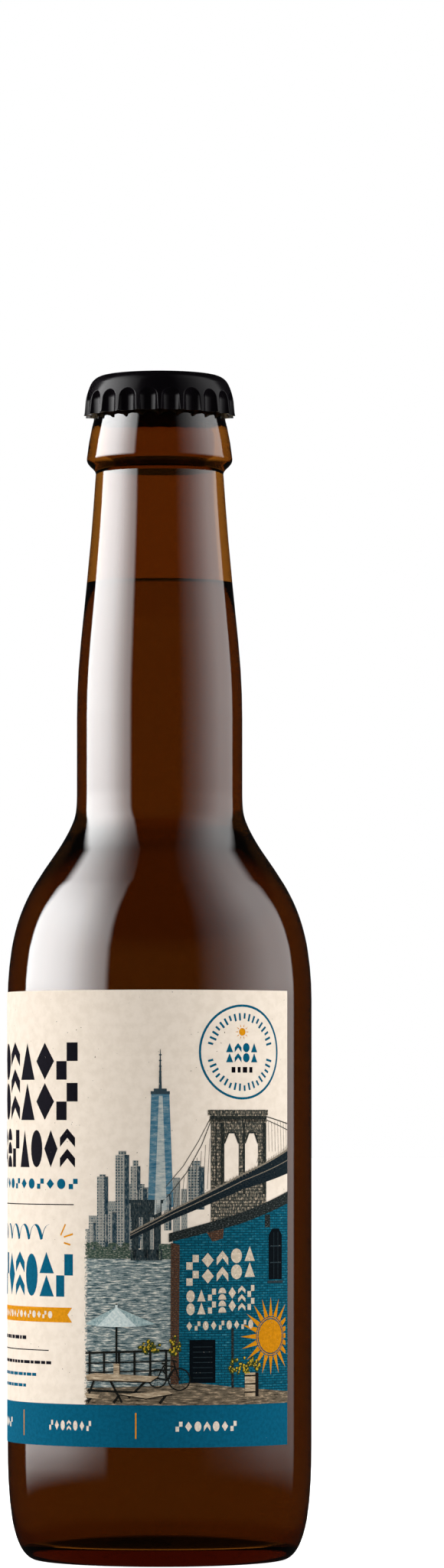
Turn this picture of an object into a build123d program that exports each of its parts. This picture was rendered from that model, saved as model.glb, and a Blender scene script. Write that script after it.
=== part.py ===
"""A 330 ml long-neck drink bottle, closed with a pressed crown cap.

Millimetres, +Z up. The base stands on z = 0, the bottle's axis is the Z axis, and -Y is the front.
Every round piece is drawn as a half profile on the XZ plane (x is the radius) and turned about Z.
"""

import os

from build123d import *

# ---- outside of the glass: (radius, height) ----
BODY_R = 30.0
BEARING_R_IN = 21.5
BEARING_R_OUT = 24.4
PUSH_UP = 3.4
HEEL_TOP_Z = 22.5
SHOULDER_Z = 110.5
NECK_R = 16.33
NECK_Z = 152.0
NECK_TAPER_Z = 166.0
UNDER_COLLAR_R = 12.6
UNDER_COLLAR_Z = 214.3
COLLAR_R = 14.37
COLLAR_Z = 217.35
CAP_SEAT_R = 12.6
CAP_SEAT_Z = 226.4
BEAD_R = 13.3
BEAD_Z = 229.4
LIP_R = 10.2
LIP_Z = 232.88

# ---- inside of the glass ----
WALL = 2.6
CAVITY_R = BODY_R - WALL
CAVITY_FLOOR_Z = 7.0
CAVITY_EDGE_Z = 4.1
CAVITY_HEEL_Z = 20.0
THROAT_R = 8.0
THROAT_BOTTOM_Z = 229.0
THROAT_TOP_Z = 231.6

# ---- drink: level of the surface, and how far it climbs the glass ----
FILL_Z = 191.7
MENISCUS_RISE = 1.0

# ---- paper label, wrapped round the straight body ----
LABEL_BOTTOM_Z = 23.4
LABEL_TOP_Z = 111.9
LABEL_THICKNESS = 0.1
LABEL_RIGHT_EDGE = -34.3  # degrees about Z from +X
LABEL_WRAP = 239.4  # degrees of the body it covers

# ---- crown cap ----
CAP_TOP_Z = 234.0
CAP_RIM_Z = 225.75
CAP_SHEET = 0.22
CAP_DOME_R = 160.0
CAP_DOME_HALF_ANGLE = 4.0
CAP_CORNER_R = 2.95
CAP_CORNER_TURN = 61.0
CAP_FLANK_R = 12.0
CAP_FLANK_TURN = 17.0
CAP_SKIRT_R = 14.84
CAP_LIP_R = 14.96
CAP_LIP_Z = 226.3
FLUTE_COUNT = 21
FLUTE_R = 2.1
FLUTE_VALLEY_R = 13.62
FLUTE_ROUND_Z = 228.5
FLUTE_EDGE_R = 0.22

# ---- seal inside the cap ----
LINER_R = 11.0
LINER_THICKNESS = 0.5

os.makedirs("parts", exist_ok=True)


def cavity_profile():
    """Half outline of the space inside the glass, from the floor up through the open mouth."""
    dome = ThreePointArc((0, CAVITY_FLOOR_Z), (11.0, CAVITY_FLOOR_Z - 0.75), (21.3, CAVITY_EDGE_Z))
    heel = Bezier(
        dome @ 1,
        (24.2, CAVITY_EDGE_Z - 1.02),
        (26.6, CAVITY_EDGE_Z + 0.5),
        (CAVITY_R, 10.0),
        (CAVITY_R, CAVITY_HEEL_Z),
    )
    wall = Line(heel @ 1, (CAVITY_R, SHOULDER_Z - 1))
    shoulder = Spline(
        wall @ 1,
        (26.12, 122.8),
        (24.15, 128.7),
        (19.95, 135.8),
        (16.55, 140.6),
        (NECK_R - WALL, NECK_Z),
        tangents=[(0, 1), (0, 1)],
    )
    neck = Line(shoulder @ 1, (NECK_R - WALL, NECK_TAPER_Z))
    taper = Spline(
        neck @ 1,
        (13.0, 181.0),
        (11.95, 193.2),
        (11.0, 206.0),
        (10.75, 216.0),
        (10.2, 223.5),
        (THROAT_R, THROAT_BOTTOM_Z),
        tangents=[(0, 1), (0, 1)],
    )
    throat = Line(taper @ 1, (THROAT_R, LIP_Z + 1))
    Polyline(throat @ 1, (0, LIP_Z + 1), dome @ 0)


def crown_profile(inset, rim_z):
    """Half outline of the cap's shape before fluting, moved in by inset and cut off at rim_z."""
    base = CAP_DOME_R - inset
    dome = CenterArc((0, CAP_TOP_Z - CAP_DOME_R), base, 90 - CAP_DOME_HALF_ANGLE, CAP_DOME_HALF_ANGLE)
    edge = dome @ 0
    corner = JernArc(edge, (edge.Y - CAP_TOP_Z + CAP_DOME_R, -edge.X), CAP_CORNER_R - inset, -CAP_CORNER_TURN)
    flank = JernArc(corner @ 1, corner % 1, CAP_FLANK_R - inset, -CAP_FLANK_TURN)
    Polyline(
        flank @ 1,
        (CAP_SKIRT_R - inset, CAP_LIP_Z),
        (CAP_LIP_R - inset, rim_z),
        (0, rim_z),
        dome @ 1,
    )


def press_flutes(inset):
    """Cut the flutes round the skirt, each a round groove with a rounded top."""
    with Locations((0, 0, FLUTE_ROUND_Z)):
        with PolarLocations(FLUTE_VALLEY_R + FLUTE_R, FLUTE_COUNT, start_angle=-90 + 180 / FLUTE_COUNT):
            Cylinder(
                FLUTE_R + inset,
                10,
                align=(Align.CENTER, Align.CENTER, Align.MAX),
                mode=Mode.SUBTRACT,
            )
            Sphere(FLUTE_R + inset, mode=Mode.SUBTRACT)


# ---- glass: one blown wall with a push-up base, collar, locking bead and rounded lip ----
with BuildPart() as bottle:
    with BuildSketch(Plane.XZ):
        with BuildLine():
            push_up = ThreePointArc((0, PUSH_UP), (12.0, PUSH_UP - 1.1), (BEARING_R_IN, 0))
            bearing = Line(push_up @ 1, (BEARING_R_OUT, 0))
            heel = Bezier(
                bearing @ 1,
                (26.0, 0),
                (28.45, 1.9),
                (BODY_R, 7.1),
                (BODY_R, HEEL_TOP_Z),
            )
            body = Line(heel @ 1, (BODY_R, SHOULDER_Z))
            shoulder = Spline(
                body @ 1,
                (29.6, 117.6),
                (28.56, 123.6),
                (26.45, 129.7),
                (22.0, 137.2),
                (18.95, 141.8),
                (17.35, 144.9),
                (NECK_R, NECK_Z),
                tangents=[(0, 1), (0, 1)],
            )
            neck = Line(shoulder @ 1, (NECK_R, NECK_TAPER_Z))
            taper = Spline(
                neck @ 1,
                (16.05, 175.0),
                (14.95, 187.1),
                (13.5, 202.2),
                (UNDER_COLLAR_R, UNDER_COLLAR_Z),
                tangents=[(0, 1), (-0.07, 1)],
            )
            under = Spline(
                taper @ 1,
                (13.35, 215.5),
                (14.2, 216.5),
                (COLLAR_R, COLLAR_Z),
                tangents=[(0.1, 1), (0, 1)],
            )
            cone = ThreePointArc(under @ 1, (13.8, 221.3), (CAP_SEAT_R, CAP_SEAT_Z))
            bead = Spline(
                cone @ 1,
                (12.75, 227.6),
                (BEAD_R, BEAD_Z),
                (12.6, 231.6),
                (LIP_R, LIP_Z),
                tangents=[(-0.1, 1), (-1, 0)],
            )
            lip = Spline(
                bead @ 1,
                (8.55, 232.5),
                (THROAT_R, THROAT_TOP_Z),
                tangents=[(-1, 0), (0, -1)],
            )
            Polyline(lip @ 1, (0, THROAT_TOP_Z), push_up @ 0)
        make_face()
        with BuildLine():
            cavity_profile()
        make_face(mode=Mode.SUBTRACT)
    revolve(axis=Axis.Z)
bottle.part.label = "bottle"
export_step(bottle.part, "parts/bottle.step")

# ---- drink: fills the cavity up to a level surface that climbs a little at the glass ----
with BuildPart() as beer:
    with BuildSketch(Plane.XZ):
        with BuildLine():
            cavity_profile()
        make_face()
        with BuildLine():
            surface = Line((0, FILL_Z), (9.0, FILL_Z))
            climb = TangentArc(surface @ 1, (13.0, FILL_Z + 2 * MENISCUS_RISE), tangent=(1, 0))
            Polyline(climb @ 1, (13.0, LIP_Z + 2), (0, LIP_Z + 2), surface @ 0)
        make_face(mode=Mode.SUBTRACT)
    revolve(axis=Axis.Z)
beer.part.label = "beer"
export_step(beer.part, "parts/beer.step")

# ---- label: one sheet of paper round the straight body, with a bare strip left at the back ----
with BuildPart() as label:
    with BuildSketch(Plane.XZ.rotated((0, 0, LABEL_RIGHT_EDGE - LABEL_WRAP))):
        with Locations((BODY_R, LABEL_BOTTOM_Z)):
            Rectangle(
                LABEL_THICKNESS,
                LABEL_TOP_Z - LABEL_BOTTOM_Z,
                align=(Align.MIN, Align.MIN),
            )
    revolve(axis=Axis.Z, revolution_arc=LABEL_WRAP)
label.part.label = "label"
export_step(label.part, "parts/label.step")

# ---- crown cap: sheet steel of one thickness, fluted inside and out ----
with BuildPart() as cap_hollow:
    with BuildSketch(Plane.XZ):
        with BuildLine():
            crown_profile(CAP_SHEET, CAP_RIM_Z - 1)
        make_face()
    revolve(axis=Axis.Z)
    press_flutes(CAP_SHEET)

with BuildPart() as crown_cap:
    with BuildSketch(Plane.XZ):
        with BuildLine():
            crown_profile(0, CAP_RIM_Z)
        make_face()
    revolve(axis=Axis.Z)
    press_flutes(0)
    rising = crown_cap.edges().filter_by(lambda edge: edge.bounding_box().size.Z > 0.3)
    fillet(rising.filter_by(lambda edge: edge.center().Z < CAP_TOP_Z - 3), FLUTE_EDGE_R)
    add(cap_hollow.part, mode=Mode.SUBTRACT)
crown_cap.part.label = "crown_cap"
export_step(crown_cap.part, "parts/crown_cap.step")

# ---- seal: a thin disc that follows the cap's domed top and rests on the glass lip ----
with BuildPart() as cap_liner:
    with BuildSketch(Plane.XZ):
        with BuildLine():
            centre = (0, CAP_TOP_Z - CAP_DOME_R)
            spread = 3.95
            top = CenterArc(centre, CAP_DOME_R - CAP_SHEET, 90 - spread, spread)
            under = CenterArc(centre, CAP_DOME_R - CAP_SHEET - LINER_THICKNESS, 90 - spread, spread)
            Line(top @ 0, under @ 0)
            Line(top @ 1, under @ 1)
        make_face()
    revolve(axis=Axis.Z)
cap_liner.part.label = "cap_liner"
export_step(cap_liner.part, "parts/cap_liner.step")
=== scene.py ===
"""The looks of a long-neck drink bottle with its paper label, crown cap and drink.

Metres, +Z up; the bottle's axis is Z and its front faces -Y. The glass and the drink are turned again
from the outline of their CAD nodes, finely enough to refract cleanly. The label's print is a drawing in
millimetres, laid over the paper as thin sheets of ink, one piece for each ink or subject.
"""

import math
import random

import bmesh
import bpy
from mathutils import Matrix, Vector
from mathutils.geometry import tessellate_polygon


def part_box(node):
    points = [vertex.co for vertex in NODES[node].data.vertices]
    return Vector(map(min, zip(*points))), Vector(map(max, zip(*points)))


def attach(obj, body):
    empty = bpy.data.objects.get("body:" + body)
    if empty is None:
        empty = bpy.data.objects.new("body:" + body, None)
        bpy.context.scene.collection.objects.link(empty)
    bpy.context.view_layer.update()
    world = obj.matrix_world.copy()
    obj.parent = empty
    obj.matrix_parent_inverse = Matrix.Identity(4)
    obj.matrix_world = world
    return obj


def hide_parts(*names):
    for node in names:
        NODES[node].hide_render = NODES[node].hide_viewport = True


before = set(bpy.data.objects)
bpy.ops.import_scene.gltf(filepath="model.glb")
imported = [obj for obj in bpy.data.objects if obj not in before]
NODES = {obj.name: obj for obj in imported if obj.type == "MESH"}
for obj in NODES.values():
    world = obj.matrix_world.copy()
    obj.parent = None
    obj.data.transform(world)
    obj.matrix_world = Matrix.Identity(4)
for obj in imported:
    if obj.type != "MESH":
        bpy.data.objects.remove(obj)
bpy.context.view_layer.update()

MM = 0.001


# ---------------------------------------------------------------- materials
class Shader:
    """A new material's node tree, with a short call that adds a node."""

    def __init__(self, name):
        self.material = bpy.data.materials.new(name)
        self.material.use_nodes = True
        self.tree = self.material.node_tree
        self.surface = self.tree.nodes["Principled BSDF"]
        self.output = self.tree.nodes["Material Output"]

    def add(self, kind, sockets=(), **settings):
        """Adds a node with these settings; sockets are (input, number, colour or output) pairs."""
        node = self.tree.nodes.new("ShaderNode" + kind)
        for name, value in settings.items():
            setattr(node, name, value)
        for socket, value in sockets:
            self.set(node, socket, value)
        return node

    def set(self, node, socket, value):
        """Gives a node's input a value, or links an output to it."""
        if isinstance(value, bpy.types.NodeSocket):
            self.tree.links.new(value, node.inputs[socket])
        else:
            node.inputs[socket].default_value = value

    def noise(self, vector, scale, detail=2.0, roughness=0.5, distortion=0.0):
        """A noise texture's grey output."""
        sockets = [("Vector", vector), ("Scale", scale), ("Detail", detail)]
        sockets += [("Roughness", roughness), ("Distortion", distortion)]
        return self.add("TexNoise", sockets).outputs["Fac"]

    def stretched(self, vector, scale):
        """A vector scaled by a different amount on each axis."""
        return self.add("VectorMath", [(0, vector), (1, scale)], operation="MULTIPLY").outputs[0]

    def ramp(self, factor, low, high, start=0.0, end=1.0):
        """A number that goes smoothly from start to end as factor goes from low to high."""
        sockets = [("Value", factor), ("From Min", low), ("From Max", high)]
        sockets += [("To Min", start), ("To Max", end)]
        return self.add("MapRange", sockets, interpolation_type="SMOOTHSTEP").outputs[0]

    def math(self, operation, a, b=0.0):
        """The result of one math operation."""
        return self.add("Math", [(0, a), (1, b)], operation=operation).outputs[0]

    def mix(self, factor, a, b):
        """Colour a turning into colour b."""
        node = self.add("Mix", [(0, factor), (6, a), (7, b)], data_type="RGBA")
        return node.outputs[2]

    def bump(self, height, strength, distance):
        """Sets the surface's normal from a height."""
        node = self.add("Bump", [("Height", height), ("Strength", strength), ("Distance", distance)])
        self.set(self.surface, "Normal", node.outputs[0])

    def finish(self, **values):
        """Sets the surface's own inputs, with spaces in their names written as underscores."""
        for name, value in values.items():
            self.set(self.surface, name.replace("_", " "), value)
        return self.material


def rgb(red, green, blue):
    """A linear colour with full alpha."""
    return (red, green, blue, 1.0)


def object_place(shader):
    """The shaded point's place in the row frame, in metres."""
    return shader.add("TexCoord").outputs["Object"]


# ---------------------------------------------------------------- turned shapes
def seam_outline(node):
    """The outline of a turned CAD node, as (radius, height) points along its seam from axis to axis."""
    mesh = NODES[node].data
    place = {}
    for vertex in mesh.vertices:
        if abs(vertex.co.y) < 1e-7 and vertex.co.x > -1e-7:
            place[vertex.index] = (round(vertex.co.x, 7), round(vertex.co.z, 7))
    near = {}
    for edge in mesh.edges:
        a, b = (place.get(index) for index in edge.vertices)
        if a and b and a != b:
            near.setdefault(a, set()).add(b)
            near.setdefault(b, set()).add(a)
    path = [min((p for p in near if p[0] < 1e-6), key=lambda p: p[1])]
    while True:
        ahead = [p for p in near[path[-1]] if p not in path]
        if not ahead:
            return path if path[-1][0] < 1e-6 else path + [(0.0, path[-1][1])]
        path.append(min(ahead, key=lambda p: math.dist(p, path[-1])))


def refined(outline, longest=3 * MM, steps=4):
    """The outline with points added on smooth curves between its own; long straight runs stay straight."""
    points = [Vector(p) for p in outline]
    gaps = [(b - a).length for a, b in zip(points, points[1:])]
    slopes = []
    for i, point in enumerate(points):
        before = (point - points[i - 1]) / gaps[i - 1] if i else None
        after = (points[i + 1] - point) / gaps[i] if i < len(gaps) else None
        if before is None or after is None:
            slopes.append(before or after)
        elif gaps[i - 1] > longest or gaps[i] > longest:
            slopes.append(before if gaps[i - 1] > gaps[i] else after)
        else:
            slopes.append((before * gaps[i] + after * gaps[i - 1]) / (gaps[i] + gaps[i - 1]))
    curve = []
    for i, gap in enumerate(gaps):
        a, b = points[i], points[i + 1]
        count = 1 if gap > longest else steps
        for k in range(count):
            t = k / count
            bend = gap * t * (1 - t)
            place = a.lerp(b, t * t * (3 - 2 * t)) + bend * (slopes[i] * (1 - t) - slopes[i + 1] * t)
            curve.append((max(place.x, 0.0), place.y))
    return curve + [outline[-1]]


def turned(name, outline, segments=180):
    """A closed shape made by turning an outline, from axis to axis, about Z."""
    mesh = bmesh.new()
    rings = []
    for radius, height in outline:
        if radius < 1e-6:
            rings.append([mesh.verts.new((0, 0, height))])
            continue
        ring = []
        for k in range(segments):
            angle = 2 * math.pi * k / segments
            ring.append(mesh.verts.new((radius * math.cos(angle), radius * math.sin(angle), height)))
        rings.append(ring)
    for lower, upper in zip(rings, rings[1:]):
        for k in range(segments):
            after = (k + 1) % segments
            corners = [lower[k % len(lower)], lower[after % len(lower)]]
            corners += [upper[after % len(upper)], upper[k % len(upper)]]
            mesh.faces.new(list(dict.fromkeys(corners)))
    bmesh.ops.recalc_face_normals(mesh, faces=mesh.faces)
    return piece(name, mesh)


def piece(name, mesh, smooth=True):
    """A new object from a bmesh, linked into the scene."""
    data = bpy.data.meshes.new(name)
    mesh.to_mesh(data)
    mesh.free()
    if smooth:
        data.shade_smooth()
    made = bpy.data.objects.new(name, data)
    bpy.context.scene.collection.objects.link(made)
    return made


# ---------------------------------------------------------------- glass and drink
def amber_glass():
    """Brown bottle glass, coloured at its faces and by the depth that light goes through."""
    shader = Shader("amber_glass")
    place = object_place(shader)
    ripple = shader.noise(shader.stretched(place, (60, 60, 18)), 1.0, 2.0)
    shader.bump(ripple, 0.02, 0.2 * MM)
    shader.set(
        shader.output,
        "Volume",
        shader.add("VolumeAbsorption", [("Color", rgb(0.725, 0.485, 0.0)), ("Density", 150)]).outputs[0],
    )
    return shader.finish(
        Base_Color=rgb(0.294, 0.127, 0.022), Roughness=0.0, IOR=1.5, Transmission_Weight=1.0
    )


def drink_liquid():
    """Golden drink, coloured by the depth that light goes through."""
    shader = Shader("drink")
    shader.set(
        shader.output,
        "Volume",
        shader.add("VolumeAbsorption", [("Color", rgb(0.6, 0.65, 0.0)), ("Density", 30)]).outputs[0],
    )
    return shader.finish(
        Base_Color=rgb(1.0, 1.0, 1.0), Roughness=0.0, IOR=1.33, Transmission_Weight=1.0
    )


def build_glass():
    glass = turned("bottle_glass", refined(seam_outline("bottle")))
    glass.data.materials.append(amber_glass())
    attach(glass, "bottle")
    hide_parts("bottle")
    return glass


DRINK_OVERLAP = 0.05 * MM  # how far the drink reaches into the glass, so that no air shows between


def build_drink():
    outline = refined(seam_outline("beer"))
    grown = [(r + DRINK_OVERLAP if r > 1e-6 else 0.0, z) for r, z in outline]
    drink = turned("drink", grown)
    drink.data.materials.append(drink_liquid())
    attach(drink, "bottle")
    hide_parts("beer")
    return drink


# ---------------------------------------------------------------- cap and seal
def cap_paint():
    """Gloss black enamel outside and clear golden lacquer inside, on pressed steel."""
    shader = Shader("cap_paint")
    place = object_place(shader)
    peel = shader.noise(place, 900, 2.0)
    shader.bump(peel, 0.08, 0.05 * MM)
    patch = shader.noise(place, 220, 3.0)
    enamel = shader.mix(patch, rgb(0.0018, 0.0014, 0.002), rgb(0.0036, 0.0028, 0.0038))
    lacquer = shader.mix(patch, rgb(0.62, 0.52, 0.33), rgb(0.74, 0.64, 0.44))
    low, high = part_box("crown_cap")
    middle = (0, 0, low[2] + 0.1 * (high[2] - low[2]))
    outward = shader.add("VectorMath", [(0, place), (1, middle)], operation="SUBTRACT").outputs[0]
    faced = shader.add("NewGeometry").outputs["True Normal"]
    facing = shader.add("VectorMath", [(0, outward), (1, faced)], operation="DOT_PRODUCT").outputs["Value"]
    inside = shader.ramp(facing, -1.5 * MM, -2.5 * MM)
    return shader.finish(
        Base_Color=shader.mix(inside, enamel, lacquer),
        Roughness=shader.ramp(patch, 0.3, 0.7, 0.16, 0.24),
        Specular_IOR_Level=0.07,
    )


def liner_polymer():
    """Grey-green soft seal."""
    shader = Shader("liner")
    place = object_place(shader)
    grain = shader.noise(place, 1400, 3.0)
    shader.bump(grain, 0.2, 0.05 * MM)
    return shader.finish(
        Base_Color=shader.mix(grain, rgb(0.30, 0.32, 0.31), rgb(0.40, 0.42, 0.41)),
        Roughness=shader.ramp(grain, 0.3, 0.7, 0.45, 0.6),
    )


def paint_node(node, material):
    """Puts a material on a CAD node's slots."""
    for held in NODES[node].material_slots:
        held.material = material


# ---------------------------------------------------------------- label
LABEL_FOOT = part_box("label")[0][2] / MM
LABEL_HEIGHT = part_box("label")[1][2] / MM - LABEL_FOOT
LABEL_HALF = 62.9  # from the label's middle to its ends, round the bottle
LABEL_TURN = math.radians(-64)  # where its middle faces, from the front
PAPER_INSIDE = 30.02
PAPER_OUTSIDE = 30.10
INK_STEP = 0.012
HALF_STRIPS = 80
STRIP = LABEL_HALF / HALF_STRIPS  # width of the flat strips that follow the glass


def on_bottle(u, v, radius):
    """A label place, u to the right of its middle and v above its foot in mm, as a point in metres."""
    turn = LABEL_TURN + u / PAPER_OUTSIDE
    return (radius * MM * math.sin(turn), -radius * MM * math.cos(turn), (LABEL_FOOT + v) * MM)


def kept(polygon, limit, side):
    """The part of a convex polygon on one side of an upright line."""
    result = []
    for a, b in zip(polygon, polygon[1:] + polygon[:1]):
        inside_a, inside_b = side * (a[0] - limit) >= 0, side * (b[0] - limit) >= 0
        if inside_a:
            result.append(a)
        if inside_a != inside_b:
            t = (limit - a[0]) / (b[0] - a[0])
            result.append((limit, a[1] + t * (b[1] - a[1])))
    return result


class Print:
    """Flat shapes in one ink, drawn in label millimetres and then laid on the paper."""

    def __init__(self, name, level):
        self.name = name
        self.radius = PAPER_OUTSIDE + INK_STEP * level
        self.places = {}
        self.faces = []

    def patch(self, corners):
        """A convex shape, cut into strips that follow the glass."""
        area = sum(a[0] * b[1] - b[0] * a[1] for a, b in zip(corners, corners[1:] + corners[:1]))
        corners = corners if area > 0 else corners[::-1]
        first = math.floor(min(p[0] for p in corners) / STRIP)
        last = math.ceil(max(p[0] for p in corners) / STRIP)
        for k in range(first, last):
            strip = kept(kept(corners, k * STRIP, 1), (k + 1) * STRIP, -1)
            keys = list(dict.fromkeys((round(u, 4), round(v, 4)) for u, v in strip))
            if len(keys) > 2:
                self.faces.append([self.places.setdefault(key, len(self.places)) for key in keys])

    def shape(self, *outline):
        """A filled outline."""
        flat = [Vector((u, v, 0)) for u, v in outline]
        for triangle in tessellate_polygon([flat]):
            self.patch([tuple(outline[k]) for k in triangle])

    def bar(self, left, bottom, right, top):
        self.patch([(left, bottom), (right, bottom), (right, top), (left, top)])

    def line(self, width, *points):
        """A run of straight strokes, each end to end with the next."""
        for a, b in zip(points, points[1:]):
            along = Vector((b[0] - a[0], b[1] - a[1])).normalized() * width / 2
            side = (-along.y, along.x)
            self.patch(
                [
                    (a[0] + side[0], a[1] + side[1]),
                    (a[0] - side[0], a[1] - side[1]),
                    (b[0] - side[0], b[1] - side[1]),
                    (b[0] + side[0], b[1] + side[1]),
                ]
            )

    def disc(self, u, v, radius, count=20, start=0.0, turn=360.0, high=None):
        """A disc, or a slice of one between two angles in degrees; high makes it an oval."""
        angles = [math.radians(start + turn * k / count) for k in range(count + (turn < 360))]
        self.patch([(u + radius * math.cos(a), v + (high or radius) * math.sin(a)) for a in angles])

    def ring(self, u, v, radius, width, count=48):
        points = []
        for k in range(count + 1):
            angle = 2 * math.pi * k / count
            points.append((u + radius * math.cos(angle), v + radius * math.sin(angle)))
        self.line(width, *points)

    def star(self, u, v, inside, outside, count, width=0.75):
        """Pointed rays round a middle; width is how much of the round their feet fill."""
        for k in range(count):
            angle, half = 2 * math.pi * k / count, math.pi / count * width
            edges = (angle - half, angle + half)
            feet = [(u + inside * math.cos(a), v + inside * math.sin(a)) for a in edges]
            self.patch(feet + [(u + outside * math.cos(angle), v + outside * math.sin(angle))])

    def picture(self, dark, middle, light, **settings):
        """Lays the shapes as one picture ink of three tones."""
        self.lay(picture_ink(self.name, rgb(*dark), rgb(*middle), rgb(*light), **settings))

    def flat(self, colour, wear=0.70):
        """Lays the shapes as one worn flat ink."""
        self.lay(worn_ink(self.name, rgb(*colour), wear))

    def lay(self, material):
        """Lays the finished sheet of ink on the label."""
        data = bpy.data.meshes.new(self.name)
        data.from_pydata([on_bottle(u, v, self.radius) for u, v in self.places], [], self.faces)
        data.shade_smooth()
        drawn = data.attributes.new("label_mm", "FLOAT_VECTOR", "POINT")
        for point, (u, v) in zip(drawn.data, self.places):
            point.vector = (u, v, 0)
        data.materials.append(material)
        made = bpy.data.objects.new(self.name, data)
        bpy.context.scene.collection.objects.link(made)
        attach(made, "bottle")


def paper_shell():
    """The label's sheet of paper, a closed shell a hair off the glass."""
    places, faces = [], []
    for k in range(-HALF_STRIPS, HALF_STRIPS + 1):
        places.append((k * STRIP, 0, PAPER_INSIDE))
        places.append((k * STRIP, 0, PAPER_OUTSIDE))
        places.append((k * STRIP, LABEL_HEIGHT, PAPER_OUTSIDE))
        places.append((k * STRIP, LABEL_HEIGHT, PAPER_INSIDE))
    last = 4 * 2 * HALF_STRIPS
    for here in range(0, last, 4):
        after = here + 4
        for a, b in ((0, 1), (1, 2), (2, 3), (3, 0)):
            faces.append([here + a, after + a, after + b, here + b])
    faces.append([0, 1, 2, 3])
    faces.append([last + 3, last + 2, last + 1, last])
    data = bpy.data.meshes.new("label_paper")
    data.from_pydata([on_bottle(*place) for place in places], [], faces)
    data.shade_smooth()
    data.set_sharp_from_angle(angle=math.radians(40))
    drawn = data.attributes.new("label_mm", "FLOAT_VECTOR", "POINT")
    for point, (u, v, radius) in zip(drawn.data, places):
        point.vector = (u, v, radius)
    data.materials.append(paper_stock())
    made = bpy.data.objects.new("label_paper", data)
    bpy.context.scene.collection.objects.link(made)
    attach(made, "bottle")
    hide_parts("label")


# ---------------------------------------------------------------- paper and inks
PAPER = rgb(0.82, 0.72, 0.61)
PAPER_DARK = rgb(0.76, 0.66, 0.55)
TEAL = (0.003, 0.098, 0.175)
BLACK = (0.004, 0.0035, 0.006)
ORANGE = (0.70, 0.28, 0.008)
CREAM = (0.78, 0.68, 0.57)


def label_place(shader):
    """The shaded point's place on the label, in millimetres."""
    return shader.add("Attribute", attribute_name="label_mm").outputs["Vector"]


def paper_colour(shader, place):
    """Cream stock with a soft mottle and a few dark specks."""
    mottle = shader.noise(place, 0.5, 4.0, 0.6)
    stock = shader.mix(shader.ramp(mottle, 0.35, 0.68), PAPER, PAPER_DARK)
    speck = shader.ramp(shader.noise(place, 1.9, 1.0), 0.775, 0.80)
    return shader.mix(speck, stock, rgb(0.12, 0.09, 0.06))


def paper_face(shader, place, colour):
    """Finishes a printed paper surface: fibre bump and a dull sheen."""
    fibre = shader.noise(shader.stretched(place, (4.5, 7.0, 1)), 1.0, 3.0, 0.6)
    shader.bump(fibre, 0.25, 0.04 * MM)
    gloss = shader.ramp(shader.noise(place, 3.0, 2.0), 0.3, 0.7, 0.5, 0.62)
    return shader.finish(Base_Color=colour, Roughness=gloss, Specular_IOR_Level=0.01)


def paper_stock():
    shader = Shader("label_paper")
    place = label_place(shader)
    return paper_face(shader, place, paper_colour(shader, place))


def worn_ink(name, colour, wear=0.70):
    """One flat ink, a little uneven, with paper showing through in worn specks."""
    shader = Shader(name)
    place = label_place(shader)
    deep = tuple(0.78 * c for c in colour[:3]) + (1.0,)
    body = shader.mix(shader.ramp(shader.noise(place, 1.4, 4.0, 0.65), 0.35, 0.65), colour, deep)
    scuffs = shader.noise(shader.stretched(place, (3.2, 2.2, 1)), 1.0, 3.0, 0.6)
    gone = shader.ramp(scuffs, wear, wear + 0.03)
    return paper_face(shader, place, shader.mix(gone, body, paper_colour(shader, place)))


def picture_ink(name, dark, middle, light, grain=(3, 3), low=0.46, high=0.56, cells=None, fill=0.0):
    """A grainy three-tone ink that fades out raggedly at the picture's left edge.

    cells adds a grid of windows or bricks: (width, height, joint width, joint colour, row offset).
    fill is how strongly the grid's own tones replace the grain.
    """
    shader = Shader(name)
    place = label_place(shader)
    rough = shader.noise(shader.stretched(place, (grain[0], grain[1], 1)), 1.0, 5.0, 0.7)
    body = shader.mix(shader.ramp(rough, low - 0.1, (low + high) / 2), dark, middle)
    body = shader.mix(shader.ramp(rough, (low + high) / 2, high + 0.08), body, light)
    if cells:
        width, height, joint, joint_colour, offset = cells
        sockets = [("Vector", place), ("Color1", dark), ("Color2", middle), ("Mortar", rgb(*joint_colour))]
        sockets += [("Scale", 1.0), ("Mortar Size", joint), ("Mortar Smooth", 0.3), ("Bias", 0.1)]
        sockets += [("Brick Width", width), ("Row Height", height)]
        grid = shader.add("TexBrick", sockets, offset=offset)
        body = shader.mix(fill, body, grid.outputs["Color"])
        joints = shader.math("MULTIPLY", grid.outputs["Fac"], shader.ramp(rough, 0.25, 0.5))
        body = shader.mix(joints, body, rgb(*joint_colour))
    across = shader.add("SeparateXYZ", [(0, place)]).outputs["X"]
    tear = shader.ramp(shader.noise(place, 2.2, 4.0, 0.7), 0.3, 0.7, -0.5, 0.5)
    ragged = shader.math("ADD", across, tear)
    printed = shader.ramp(ragged, 18.5, 19.0)
    return paper_face(shader, place, shader.mix(printed, paper_colour(shader, place), body))


# ---------------------------------------------------------------- lettering's stand-ins: plain ornaments
FIGURES = {"diamond": 0.6, "disc": 0.6, "triangle": 0.7, "dome": 1.4, "check": 0.6, "chevron": 0.9}


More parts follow.
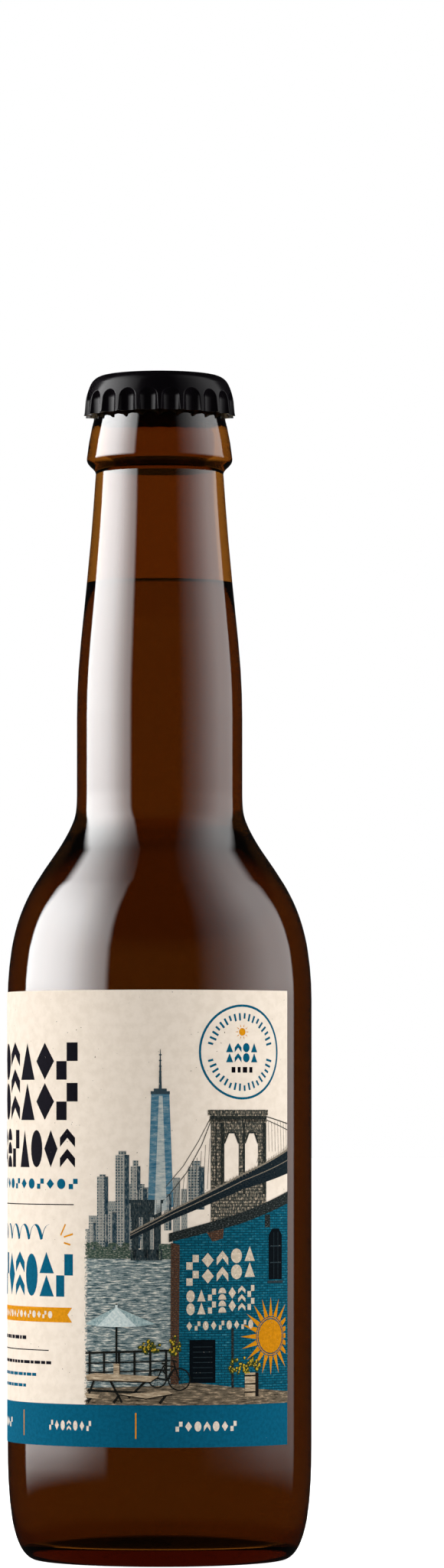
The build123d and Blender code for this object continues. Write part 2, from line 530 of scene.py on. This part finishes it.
def ornament(ink, kind, left, bottom, right, top):
    """A column of one plain figure, repeated as often as fills the cell."""
    u, half = (left + right) / 2, (right - left) / 2
    count = max(1, round((top - bottom) / (right - left) * FIGURES[kind]))
    tall = (top - bottom) / count
    for k in range(count):
        low = bottom + k * tall
        middle, high = low + 0.46 * tall, low + 0.92 * tall
        if kind == "diamond":
            ink.patch([(u, low), (right, middle), (u, high), (left, middle)])
        elif kind == "disc":
            ink.disc(u, middle, half, high=0.46 * tall)
        elif kind == "triangle":
            ink.patch([(left, low), (right, low), (u, high)])
        elif kind == "dome":
            ink.disc(u, low, half, 14, 0, 180, high=0.86 * tall)
        elif kind == "check":
            ink.bar(left, low, u, middle)
            ink.bar(u, middle, right, high)
        else:
            ink.patch([(left, low), (u, middle), (u, high), (left, middle)])
            ink.patch([(right, low), (right, middle), (u, high), (u, middle)])


def frieze(ink, kinds, left, right, bottom, top, gap, slant=0.0):
    """Ornaments side by side; slant lifts each cell by that much for each mm to the right."""
    width = (right - left + gap) / len(kinds)
    for k, kind in enumerate(kinds):
        start = left + k * width
        lift = slant * (start - left)
        ornament(ink, kind, start, bottom + lift, start + width - gap, top + lift)


def dashes(ink, left, right, bottom, top, pieces):
    """A row of short and long dashes in place of small print."""
    rng = random.Random(pieces)
    gap = (top - bottom) * 0.45
    shares = [rng.uniform(1, 3.2) for _ in range(pieces)]
    unit = (right - left - gap * (pieces - 1)) / sum(shares)
    for share in shares:
        ink.bar(left, bottom, left + share * unit, top)
        left += share * unit + gap


def wave(ink, left, right, middle, swing, turns, thick, thin):
    """A brush-like wavy stroke, thick on its way down and thin on its way up."""
    edges = []
    count = 24 * turns
    for k in range(count + 1):
        t = k / count
        phase = 2 * math.pi * turns * t
        lean = 0.35 * swing * math.sin(phase)
        width = thin + (thick - thin) * (0.5 + 0.5 * math.sin(phase))
        place = (left + (right - left) * t + lean, middle + swing * math.cos(phase))
        edges.append((place, width))
    for (a, wide_a), (b, wide_b) in zip(edges, edges[1:]):
        ink.patch(
            [
                (a[0] - wide_a / 2, a[1] - 0.1),
                (b[0] - wide_b / 2, b[1] - 0.1),
                (b[0] + wide_b / 2, b[1] + 0.1),
                (a[0] + wide_a / 2, a[1] + 0.1),
            ]
        )


def build_lettering():
    black, teal, orange = Print("ink_black", 1), Print("ink_teal", 1), Print("ink_orange", 1)
    cream = Print("ink_cream", 2)
    first = ["check", "disc", "chevron", "triangle", "diamond", "check"]
    frieze(black, first, -17.4, 16.9, 63.3, 79.0, 0.6)
    second = ["disc", "chevron", "dome", "check", "triangle", "disc", "diamond", "chevron"]
    frieze(black, second, -17.4, 16.3, 54.1, 62.0, 0.6)
    frieze(teal, ["diamond", "disc", "check"] * 4, -17.2, 16.9, 49.9, 52.1, 0.8)
    black.bar(-16.8, 46.8, 16.0, 47.0)
    wave(teal, -15.5, 9.6, 41.5, 1.45, 6, 0.95, 0.3)
    orange.line(0.34, (12.8, 40.9), (14.0, 43.1))
    orange.line(0.34, (13.6, 40.6), (15.8, 41.2))
    orange.line(0.34, (13.6, 39.5), (15.2, 39.1))
    third = ["dome", "check", "diamond", "chevron", "disc", "triangle", "check"]
    frieze(teal, third, -17.0, 15.8, 29.0, 38.0, 0.6)
    orange.shape((-17.0, 24.0), (15.6, 24.0), (14.5, 25.5), (15.6, 26.9), (-17.0, 26.9))
    frieze(cream, ["diamond", "check", "disc"] * 5, -13.6, 10.6, 24.75, 26.3, 0.45)
    dashes(black, -13.0, 2.2, 20.5, 21.2, 9)
    black.bar(-16.8, 18.4, 9.6, 18.6)
    dashes(black, -14.0, 10.3, 15.8, 16.4, 13)
    dashes(teal, -14.0, 5.8, 13.4, 14.0, 10)
    dashes(teal, -12.0, 2.1, 11.2, 11.8, 7)
    for u in (-55, -44, -33):
        frieze(teal, ["diamond", "disc", "diamond"], u - 4, u + 4, 60.0, 64.5, 0.7)
    for k in range(9):
        dashes(black, -58.0, -30.0 - 2 * (k % 3), 50.0 - 2.6 * k, 50.7 - 2.6 * k, 6 + k % 3)
    black.bar(-58.0, 53.6, -28.0, 53.8)
    for u in (-50.3, -37.0):
        teal.ring(u, 17.8, 4.6, 0.35)
        teal.star(u, 17.8, 1.2, 3.4, 8)
    teal.bar(-LABEL_HALF, 0.0, LABEL_HALF, 8.2)
    bars = Print("ink_orange_bars", 2)
    for u in (-54.0, -26.4, 1.3, 29.0):
        bars.bar(u - 0.14, 1.7, u + 0.14, 6.7)
    foot = ["check", "diamond", "disc", "chevron", "disc", "diamond", "check"]
    for left, right in ((-46.0, -34.0), (-21.0, -4.9), (9.8, 19.9), (36.7, 49.2)):
        frieze(cream, foot, left, right, 3.1, 5.2, 0.5)
    build_badge(teal, orange, black)
    teal.flat(TEAL, 0.745)
    black.flat(BLACK, 0.725)
    worn_orange = worn_ink("ink_orange", rgb(*ORANGE), 0.74)
    orange.lay(worn_orange)
    bars.lay(worn_orange)
    cream.flat(CREAM, 0.9)


def build_badge(teal, orange, black):
    u, v, radius = 50.5, 76.5, 9.0
    teal.ring(u, v, radius, 0.45)
    for k in range(40):
        angle = math.radians(9 * k + 4.5)
        if abs(math.sin(angle)) > 0.12:
            reach = (0.68 if k % 3 else 0.72) * radius
            foot = (u + reach * math.cos(angle), v + reach * math.sin(angle))
            reach = 0.84 * radius
            teal.line(0.42, foot, (u + reach * math.cos(angle), v + reach * math.sin(angle)))
    orange.disc(u, v + 3.9, 0.75)
    orange.star(u, v + 3.9, 1.0, 1.6, 10, 0.35)
    frieze(teal, ["triangle", "chevron", "disc", "triangle"], u - 3.6, u + 3.6, v - 2.0, v + 1.9, 0.35)
    dashes(black, u - 2.4, u + 2.4, v - 4.0, v - 2.9, 4)


# ---------------------------------------------------------------- the label's picture
LEFT, RIGHT = 18.4, 62.86  # the picture's sides
SHORE_LINE = 38.0
FAR_TOWERS = (  # left, right and top of each
    (18.6, 19.4, 42.2),
    (19.4, 21.2, 44.8),
    (30.0, 31.8, 50.3),
    (31.4, 32.4, 49.0),
    (36.2, 37.6, 52.2),
    (37.8, 39.0, 50.0),
    (23.4, 25.0, 47.6),
    (26.6, 28.4, 51.0),
)
TOWERS = (  # left, right, foot and top of each near tower
    (21.2, 23.5, 38.5, 52.4),
    (25.0, 27.7, 38.5, 56.6),
    (28.0, 29.9, 38.5, 54.4),
    (22.6, 25.2, 38.3, 45.5),
    (28.9, 31.2, 40.0, 50.2),
    (39.2, 42.4, 46.0, 54.3),
    (34.5, 35.9, 42.0, 49.0),
    (19.4, 20.9, 38.0, 43.6),
)


def tower(ink, left, right, foot, top, crown=0.0):
    """A block of a building, with a narrower block of this height on top."""
    ink.bar(left, foot, right, top)
    if crown:
        inset = (right - left) * 0.22
        ink.bar(left + inset, top, right - inset, top + crown)


def build_far_shore():
    water = Print("print_water", 1)
    water.shape((LEFT, 11.0), (36.5, 11.0), (36.5, 36.7), (28.0, 36.4), (LEFT, 36.9))
    water.picture(
        (0.018, 0.05, 0.062),
        (0.185, 0.235, 0.235),
        (0.70, 0.67, 0.58),
        grain=(0.5, 3.4),
        low=0.48,
        high=0.55,
    )
    far = Print("print_far_towers", 1)
    for left, right, top in FAR_TOWERS:
        far.bar(left, SHORE_LINE, right, top)
    haze = (0.43, 0.40, 0.34)
    far.picture(
        (0.06, 0.10, 0.115),
        (0.17, 0.20, 0.20),
        haze,
        grain=(2.4, 1.2),
        cells=(0.42, 0.55, 0.12, (0.28, 0.28, 0.25), 0.5),
        fill=0.5,
    )
    near = Print("print_towers", 2)
    for k, (left, right, foot, top) in enumerate(TOWERS):
        tower(near, left, right, foot, top, 0.4 + 0.35 * (k % 3))
    near.picture(
        (0.007, 0.024, 0.038),
        (0.075, 0.115, 0.13),
        haze,
        grain=(2.2, 0.9),
        low=0.48,
        high=0.60,
        cells=(0.62, 0.55, 0.11, (0.30, 0.30, 0.265), 0.0),
        fill=0.55,
    )
    lit = Print("print_tower_light", 3)
    dim = Print("print_tower_shade", 3)
    for left, right, foot, top in TOWERS:
        dim.bar(right - 0.34 * (right - left), foot, right, top)
        for k in range(3):
            u = left + (0.12 + 0.2 * k) * (right - left)
            lit.bar(u, foot + 1.5, u + 0.16, top - 0.4)
        lit.bar(left, top - 0.22, right, top)
    dim.picture((0.006, 0.02, 0.032), (0.03, 0.055, 0.07), (0.16, 0.18, 0.17), grain=(2.4, 1.0))
    lit.picture((0.13, 0.16, 0.16), (0.36, 0.34, 0.30), (0.55, 0.51, 0.44), grain=(1.5, 2.5))
    shore = Print("print_shore", 4)
    rng = random.Random(5)
    for k in range(34):
        shore.disc(rng.uniform(LEFT, 27.5), rng.uniform(38.0, 39.3), rng.uniform(0.35, 0.7), 9)
    shore.bar(LEFT, 36.5, 28.4, 38.2)
    shore.bar(33.5, 36.4, 36.6, 39.4)
    shore.picture(
        (0.006, 0.019, 0.021),
        (0.045, 0.075, 0.055),
        (0.42, 0.39, 0.32),
        grain=(2.0, 5.0),
        low=0.42,
        high=0.6,
    )


def build_glass_tower():
    """A plain tapering glass tower with a slim mast."""
    tall = Print("print_glass_tower", 3)
    tall.shape((31.3, 44.5), (36.3, 46.6), (35.5, 68.4), (32.0, 68.4))
    tall.picture(
        (0.02, 0.10, 0.175),
        (0.075, 0.185, 0.25),
        (0.30, 0.36, 0.36),
        grain=(0.5, 1.6),
        cells=(6.0, 0.8, 0.07, (0.11, 0.20, 0.25), 0.0),
        fill=0.25,
    )
    bright = Print("print_glass_face", 4)
    bright.shape((32.6, 45.0), (35.0, 46.0), (34.2, 68.0), (33.5, 68.0))
    bright.picture(
        (0.22, 0.28, 0.29),
        (0.40, 0.44, 0.42),
        (0.55, 0.53, 0.47),
        grain=(0.5, 1.6),
        cells=(6.0, 0.8, 0.05, (0.33, 0.38, 0.38), 0.0),
        fill=0.1,
    )
    mast = Print("print_mast", 4)
    mast.bar(31.9, 68.3, 35.6, 68.9)
    mast.bar(32.5, 68.9, 35.0, 69.4)
    mast.shape((33.45, 69.4), (34.05, 69.4), (33.8, 77.0), (33.7, 77.0))
    for k in range(6):
        mast.bar(33.5, 70.3 + 1.1 * k, 34.0, 70.55 + 1.1 * k)
    mast.flat((0.035, 0.06, 0.075), 0.72)


def build_bridge():
    """A plain suspension bridge: a stone portal, cables and a trussed deck."""
    dark, middle = (0.006, 0.012, 0.015), (0.085, 0.085, 0.068)
    cables = Print("print_cables", 4)
    main = [(43.9, 63.6), (41.9, 58.6), (38.9, 53.2), (35.5, 48.9), (31.5, 45.2)]
    cables.line(0.16, *main)
    cables.line(0.13, (43.9, 64.2), (41.2, 59.2), (38.2, 54.4), (34.7, 50.3))
    cables.line(0.2, (55.9, 64.1), (62.85, 62.6))
    cables.line(0.16, (55.9, 63.5), (62.85, 61.4))
    for k in range(9):
        u = 36.2 + 0.85 * k
        cables.line(0.07, (u, 46.0 + 0.56 * (u - 36)), (u + 0.5, 49.6 + 1.45 * (u - 36)))
    for k in range(7):
        u = 57.2 + 0.9 * k
        cables.line(0.06, (u, 57.2), (u - 0.2, 63.0))
    cables.line(0.07, (54.0, 55.0), (56.5, 63.8))
    cables.flat((0.05, 0.05, 0.045), 0.66)
    pier = Print("print_pier", 4)
    pier.bar(28.0, 44.5, 34.0, 47.2)
    pier.bar(27.7, 47.2, 34.3, 47.9)
    for left in (28.2, 30.4, 32.5):
        pier.bar(left, 36.6, left + 1.35, 44.6)
    pier.bar(28.0, 36.2, 34.1, 38.3)
    pier.picture(dark, (0.03, 0.045, 0.05), (0.25, 0.21, 0.16), grain=(3.5, 1.2), high=0.66)
    portal = Print("print_portal", 5)
    for left, right in ((43.7, 46.5), (49.7, 51.1), (54.3, 56.4)):
        portal.bar(left, 42.0, right, 64.2)
    for left, right in ((46.5, 49.7), (51.1, 54.3)):
        arch = ((left, 59.0), (left + 0.9, 60.8), (right - 0.9, 60.8), (right, 59.0))
        portal.shape(*arch, (right, 64.2), (left, 64.2))
        portal.bar(left, 42.0, right, 51.4)
    portal.bar(43.1, 64.2, 56.9, 65.3)
    portal.bar(43.4, 62.9, 56.6, 63.4)
    portal.picture(
        dark,
        middle,
        (0.56, 0.44, 0.32),
        grain=(3.0, 1.3),
        low=0.46,
        high=0.54,
        cells=(1.3, 0.62, 0.08, (0.02, 0.022, 0.02), 0.5),
        fill=0.12,
    )
    shade = Print("print_portal_shade", 6)
    for left, right in ((45.7, 46.5), (50.6, 51.1), (55.4, 56.4)):
        shade.bar(left, 49.0, right, 62.8)
    shade.bar(43.5, 63.4, 56.5, 64.1)
    shade.bar(44.6, 50.5, 44.9, 62.8)
    for left, right in ((46.5, 49.7), (51.1, 54.3)):
        shade.line(0.35, (left, 58.8), (left + 0.9, 60.9), (right - 0.9, 60.9), (right, 58.8))
    shade.picture(dark, (0.022, 0.024, 0.02), middle, grain=(3.0, 1.6), high=0.6)
    deck = Print("print_deck", 7)
    top = [(27.9, 41.6), (36.3, 46.1), (43.5, 49.6), (50.6, 52.9), (62.85, 57.6)]
    under = [(27.9, 40.2), (36.3, 44.2), (43.5, 47.1), (50.6, 49.9), (62.85, 52.9)]
    for k in range(4):
        deck.patch([under[k], under[k + 1], top[k + 1], top[k]])
    deck.picture(
        (0.002, 0.007, 0.012),
        (0.012, 0.019, 0.023),
        (0.12, 0.10, 0.075),
        grain=(2.6, 4),
        high=0.68,
    )
    rails = Print("print_deck_rails", 8)
    rails.line(0.32, *[(u, v - 0.1) for u, v in top])
    rails.line(0.14, *[(u, 0.45 * low + 0.55 * high) for (u, low), (_, high) in zip(under, top)])
    for k in range(26):
        u = 44.6 + 0.72 * k
        foot = 49.6 + 0.42 * (u - 43.5)
        rails.line(0.1, (u, foot - 0.2), (u + 0.35, foot + 0.75))
    rails.picture(middle, (0.22, 0.185, 0.14), (0.42, 0.35, 0.27), grain=(5, 5))


def build_brick_house():
    """A painted brick wall with a dark cornice, a window, a door and a plain mural."""
    wall = Print("print_bricks", 8)
    wall.shape((35.8, 11.8), (40.3, 11.2), (RIGHT, 10.0), (RIGHT, 47.6), (50.0, 43.6), (36.2, 40.0))
    wall.picture(
        (0.002, 0.030, 0.048),
        (0.004, 0.105, 0.165),
        (0.055, 0.25, 0.31),
        grain=(0.8, 1.5),
        low=0.42,
        high=0.62,
        cells=(1.35, 0.5, 0.085, (0.003, 0.032, 0.05), 0.5),
        fill=0.3,
    )
    rust = Print("print_rust", 9)
    rust.shape((35.7, 12.2), (37.3, 12.2), (37.5, 39.2), (35.8, 39.6))
    rust.shape((42.6, 41.9), (44.0, 39.8), (46.2, 40.4), (46.4, 42.6))
    rust.picture(
        (0.016, 0.009, 0.007),
        (0.085, 0.036, 0.018),
        (0.21, 0.147, 0.10),
        grain=(3, 4),
        cells=(0.9, 0.42, 0.07, (0.04, 0.03, 0.025), 0.5),
        fill=0.3,
    )
    trim = Print("print_cornice", 10)
    trim.shape((35.4, 41.4), (35.4, 39.7), (50.0, 43.2), (RIGHT, 47.1), (RIGHT, 49.4), (50.0, 45.3))
    trim.bar(56.0, 42.5, 57.4, 44.9)
    trim.bar(48.0, 11.4, 48.5, 23.0)
    trim.picture(
        (0.004, 0.006, 0.006),
        (0.016, 0.021, 0.021),
        (0.17, 0.19, 0.18),
        grain=(2.5, 6),
        high=0.62,
    )
    holes = Print("print_openings", 11)
    holes.shape((57.0, 32.3), (60.9, 32.3), (60.9, 40.9), (59.9, 42.2), (58.0, 42.2), (57.0, 40.9))
    holes.bar(39.4, 12.5, 44.6, 20.8)
    holes.flat((0.003, 0.005, 0.007), 0.75)
    frames = Print("print_frames", 12)
    frames.bar(56.7, 31.6, 61.2, 32.1)
    for k in range(1, 3):
        frames.bar(57.4, 32.3 + 3.2 * k, 60.6, 32.5 + 3.2 * k)
        frames.bar(57.2 + 1.2 * k, 32.5, 57.3 + 1.2 * k, 41.5)
    for k in range(7):
        frames.bar(40.1, 13.4 + k, 44.0, 13.5 + k)
    frames.flat((0.024, 0.038, 0.045), 0.68)
    mural = Print("print_mural", 9)
    frieze(mural, ["check", "diamond", "chevron", "disc", "triangle"], 38.8, 53.4, 31.3, 37.5, 0.6, 0.13)
    second = ["disc", "triangle", "check", "dome", "diamond", "chevron", "check"]
    frieze(mural, second, 38.8, 53.3, 25.6, 30.6, 0.5, 0.07)
    frieze(mural, ["diamond", "check", "disc"] * 3, 38.8, 53.0, 22.6, 24.5, 0.5, 0.02)
    mural.flat((0.60, 0.50, 0.38), 0.60)
    sun = Print("print_sun", 9)
    u, v = 57.6, 21.3
    sun.disc(u, v, 3.3)
    sun.ring(u, v, 3.6, 0.2)
    sun.star(u, v, 3.9, 7.6, 20, 0.85)
    trimmed = Print("print_sun", 9)
    across = [place[0] for place in sun.places]
    trimmed.faces = [face for face in sun.faces if all(across[k] < RIGHT for k in face)]
    trimmed.places = sun.places
    trimmed.flat((0.60, 0.235, 0.006))


BUSHES = (  # middle, half width, half height and number of leaves of each
    (52.0, 15.6, 2.6, 1.6, 46),
    (48.8, 15.4, 1.3, 1.5, 14),
    (31.6, 19.4, 2.2, 1.2, 26),
    (36.6, 19.0, 1.0, 2.4, 20),
)


def build_waterfront():
    """Paving, railing, table, umbrella, bicycle, barrel and flowers along the foot of the picture."""
    ground = Print("print_ground", 9)
    edge = ((RIGHT, 10.4), (48.3, 11.6), (40.0, 12.6), (35.0, 12.0), (LEFT, 11.4))
    ground.shape((LEFT, 8.2), (RIGHT, 8.2), *edge)
    ground.picture(
        (0.014, 0.012, 0.008),
        (0.12, 0.095, 0.065),
        (0.42, 0.31, 0.20),
        grain=(0.5, 2.6),
        low=0.40,
        high=0.60,
    )
    rng = random.Random(11)
    leaves, petals = Print("print_leaves", 12), Print("print_petals", 13)
    for u, v, wide, tall, count in BUSHES:
        for k in range(count):
            turn, reach = rng.uniform(0, 2 * math.pi), math.sqrt(rng.uniform(0, 1))
            place = (u + wide * reach * math.cos(turn), v + tall * reach * math.sin(turn))
            leaves.disc(*place, rng.uniform(0.25, 0.5), 6)
            aside, above = rng.uniform(-0.2, 0.2), rng.uniform(-0.1, 0.3)
            petals.disc(place[0] + aside, place[1] + above, rng.uniform(0.1, 0.24), 6)
    leaves.picture((0.005, 0.013, 0.009), (0.03, 0.045, 0.012), (0.12, 0.13, 0.03), grain=(4, 4))
    petals.flat((0.55, 0.37, 0.03))
    iron = Print("print_iron", 12)
    for lift, width in ((0.0, 0.42), (-2.0, 0.26), (-3.8, 0.26)):
        iron.line(width, (18.7, 18.2 + lift), (35.6, 18.8 + lift))
    for k in range(6):
        iron.bar(19.4 + 3.05 * k, 13.4, 19.85 + 3.05 * k, 18.6)
    for u, v, radius in ((33.2, 13.4, 1.75), (37.4, 13.2, 2.1)):
        iron.ring(u, v, radius, 0.26, 28)
        for k in range(6):
            angle = math.pi * k / 6
            reach = (radius * math.cos(angle), radius * math.sin(angle))
            iron.line(0.05, (u - reach[0], v - reach[1]), (u + reach[0], v + reach[1]))
    iron.line(0.24, (33.2, 13.4), (34.4, 15.9), (36.6, 15.6), (37.4, 13.2))
    iron.line(0.24, (34.4, 15.9), (35.2, 13.0), (36.6, 15.6), (36.3, 16.8))
    iron.line(0.24, (33.2, 13.4), (35.2, 13.0))
    iron.line(0.3, (35.8, 16.9), (36.9, 16.6))
    iron.line(0.36, (34.0, 16.3), (34.8, 16.2))
    iron.bar(25.0, 14.0, 25.4, 27.8)
    for u, v in ((24.6, 8.6), (33.6, 8.5), (19.2, 8.6)):
        iron.line(0.5, (u, v), (u + 1.2, v + 1.6))
    iron.line(0.45, (20.6, 13.0), (18.9, 8.8))
    iron.line(0.45, (23.9, 13.0), (26.3, 8.7))
    iron.line(0.45, (30.9, 12.8), (27.6, 9.6))
    iron.line(0.45, (19.2, 11.0), (31.2, 10.6))
    iron.picture(
        (0.003, 0.003, 0.003),
        (0.012, 0.013, 0.011),
        (0.10, 0.10, 0.085),
        grain=(4, 4),
        high=0.68,
    )
    wood = Print("print_wood", 13)
    wood.shape((18.6, 13.9), (20.9, 14.35), (33.4, 13.8), (31.9, 12.75), (19.1, 13.0))
    wood.shape((25.9, 10.3), (35.2, 11.0), (36.1, 10.45), (31.0, 9.5))
    wood.shape((18.5, 10.4), (21.8, 10.2), (21.2, 9.4), (18.5, 9.6))
    wood.bar(24.6, 14.1, 25.8, 16.2)
    wood.bar(51.0, 9.7, 54.2, 14.3)
    wood.picture(
        (0.06, 0.042, 0.024),
        (0.34, 0.255, 0.165),
        (0.62, 0.51, 0.36),
        grain=(0.5, 4),
        low=0.40,
        high=0.56,
    )
    hoops = Print("print_hoops", 14)
    for v in (10.4, 12.0, 13.6):
        hoops.bar(50.9, v, 54.3, v + 0.28)
    hoops.bar(53.5, 9.7, 54.3, 14.3)
    hoops.line(0.22, (19.1, 12.9), (31.9, 12.65), (33.4, 13.65))
    hoops.line(0.2, (26.0, 10.15), (31.0, 9.4), (36.1, 10.3))
    hoops.flat((0.012, 0.010, 0.008))
    canopy = Print("print_umbrella", 14)
    shade = Print("print_umbrella_shade", 14)
    hem = [(18.5, 23.8), (21.3, 23.4), (25.1, 23.3), (29.2, 23.4), (32.9, 23.9)]
    for k, panel in enumerate((shade, canopy, canopy, shade)):
        panel.patch([(25.2, 27.2), hem[k], hem[k + 1]])
    canopy.bar(24.95, 27.1, 25.45, 27.6)
    canopy.picture((0.42, 0.52, 0.52), (0.56, 0.64, 0.62), (0.70, 0.74, 0.70), grain=(2, 2))
    shade.picture((0.17, 0.26, 0.27), (0.30, 0.40, 0.40), (0.48, 0.56, 0.54), grain=(2, 2))


def build_label():
    paper_shell()
    build_lettering()
    build_far_shore()
    build_glass_tower()
    build_bridge()
    build_brick_house()
    build_waterfront()


# ---------------------------------------------------------------- stage
def ray_kind(shader, kind):
    """1 on rays of this kind."""
    return shader.add("LightPath").outputs[kind]


class World(Shader):
    """The world's node tree, with the same short calls."""

    def __init__(self):
        world = bpy.data.worlds.new("studio")
        bpy.context.scene.world = world
        world.use_nodes = True
        world.cycles.sampling_method = "NONE"
        self.tree = world.node_tree
        self.tree.nodes.clear()
        self.output = self.tree.nodes.new("ShaderNodeOutputWorld")


def build_world():
    """White behind, and in reflections a tall soft box on each side with dark between them.

    Light through the glass comes from near the horizon, and is dark from well above or below it.
    """
    world = World()
    toward = world.add("TexCoord").outputs["Generated"]
    parts = world.add("SeparateXYZ", [(0, toward)]).outputs
    away = world.math("MULTIPLY", parts["Y"], -1.0)
    around = world.math("MULTIPLY", world.math("ARCTAN2", parts["X"], away), 180 / math.pi)
    height = world.math("MULTIPLY", world.math("ARCSINE", parts["Z"]), 180 / math.pi)

    def soft_box(side, inner, glow, upper):
        """A panel that starts softly at its inner edge, brightens round the side and fades upwards.

        Angles are in degrees from the front; glow also has the brightness at its two angles.
        """
        turn = world.math("MULTIPLY", around, side)
        leaning = world.math("ADD", turn, world.math("MULTIPLY", height, 0.35))
        level = world.ramp(turn, *glow)
        for mask in (
            world.ramp(turn, *inner),
            world.ramp(turn, 124, 121),
            world.ramp(leaning, 136, 125),
            world.ramp(turn, 90, 124, 1.0, 0.74),
            world.ramp(height, -8, 5.5),
            world.ramp(height, *upper),
        ):
            level = world.math("MULTIPLY", level, mask)
        return level

    left = soft_box(-1, (38, 44), (38, 84, 4.2, 15.2), (75, 25))
    right = soft_box(1, (26, 46), (38, 96, 0.56, 3.5), (85, 35))
    boxes = world.math("ADD", left, right)
    mirror = world.math("ADD", boxes, 0.01)
    lower = world.ramp(height, -34, -20, 0.2, 1.0)
    through = world.math("MULTIPLY", lower, world.ramp(height, 17, 27, 1.0, 0.04))
    level = 0.28
    for kind, seen in (("Is Glossy Ray", mirror), ("Is Transmission Ray", through), ("Is Camera Ray", 1.0)):
        level = world.add("Mix", [(0, ray_kind(world, kind)), (2, level), (3, seen)]).outputs[0]
    light = world.add("Background", [("Color", rgb(1, 1, 1)), ("Strength", level)])
    world.tree.links.new(light.outputs[0], world.output.inputs["Surface"])


def build_floor():
    """A wide pale floor at the height of the base."""
    mesh = bmesh.new()
    bmesh.ops.create_circle(mesh, cap_ends=True, segments=96, radius=12.0)
    floor = piece("floor", mesh, smooth=False)
    shader = Shader("floor")
    place = object_place(shader)
    tone = shader.noise(place, 3.0, 2.0)
    shader.set(shader.surface, "Emission Color", rgb(1, 1, 1))
    seen = ray_kind(shader, "Is Camera Ray")
    glow = shader.add("Mix", [(0, seen), (2, 0.3), (3, 0.9)]).outputs[0]
    floor.data.materials.append(
        shader.finish(
            Base_Color=shader.mix(tone, rgb(0.88, 0.88, 0.88), rgb(0.92, 0.92, 0.92)),
            Roughness=0.9,
            Specular_IOR_Level=0.1,
            Emission_Strength=glow,
        )
    )
    floor.visible_glossy = False
    floor.visible_transmission = False


LAMP_REACH = 0.9
LAMP_HEIGHT = 0.35
LAMP_SIZE = (0.5, 1.0)
LAMP_AIM = Vector((0, 0, 0.12))


def lamp(name, turn, power):
    """A soft box that lights without showing in reflections, turned so many degrees from the front."""
    data = bpy.data.lights.new(name, "AREA")
    data.shape = "RECTANGLE"
    data.size, data.size_y = LAMP_SIZE
    data.energy = power
    made = bpy.data.objects.new(name, data)
    bpy.context.scene.collection.objects.link(made)
    angle = math.radians(turn)
    made.location = (LAMP_REACH * math.sin(angle), -LAMP_REACH * math.cos(angle), LAMP_HEIGHT)
    made.rotation_euler = (LAMP_AIM - made.location).to_track_quat("-Z", "Y").to_euler()
    made.visible_glossy = False
    made.visible_transmission = False
    made.visible_camera = False


VIEW_DISTANCE = 1.333
EYE_HEIGHT = 0.0878
SHIFT = (0.039756, 0.210732)  # of the frame's height: the bottle stands left of and below the middle


def build_camera():
    """A level camera with its frame shifted, so that the bottle's sides stay upright."""
    data = bpy.data.cameras.new("camera")
    data.sensor_width = 36.0
    data.lens = 154.85
    data.shift_x, data.shift_y = SHIFT
    data.clip_end = 100
    made = bpy.data.objects.new("camera", data)
    bpy.context.scene.collection.objects.link(made)
    made.location = (0, -VIEW_DISTANCE, EYE_HEIGHT)
    made.rotation_euler = (math.pi / 2, 0, 0)
    bpy.context.scene.camera = made
    bpy.context.scene.view_settings.view_transform = "Standard"


build_glass()
build_drink()
paint_node("crown_cap", cap_paint())
paint_node("cap_liner", liner_polymer())
build_label()
build_world()
build_floor()
lamp("left_light", -85, 8.4)
lamp("right_light", 78, 7.6)
build_camera()
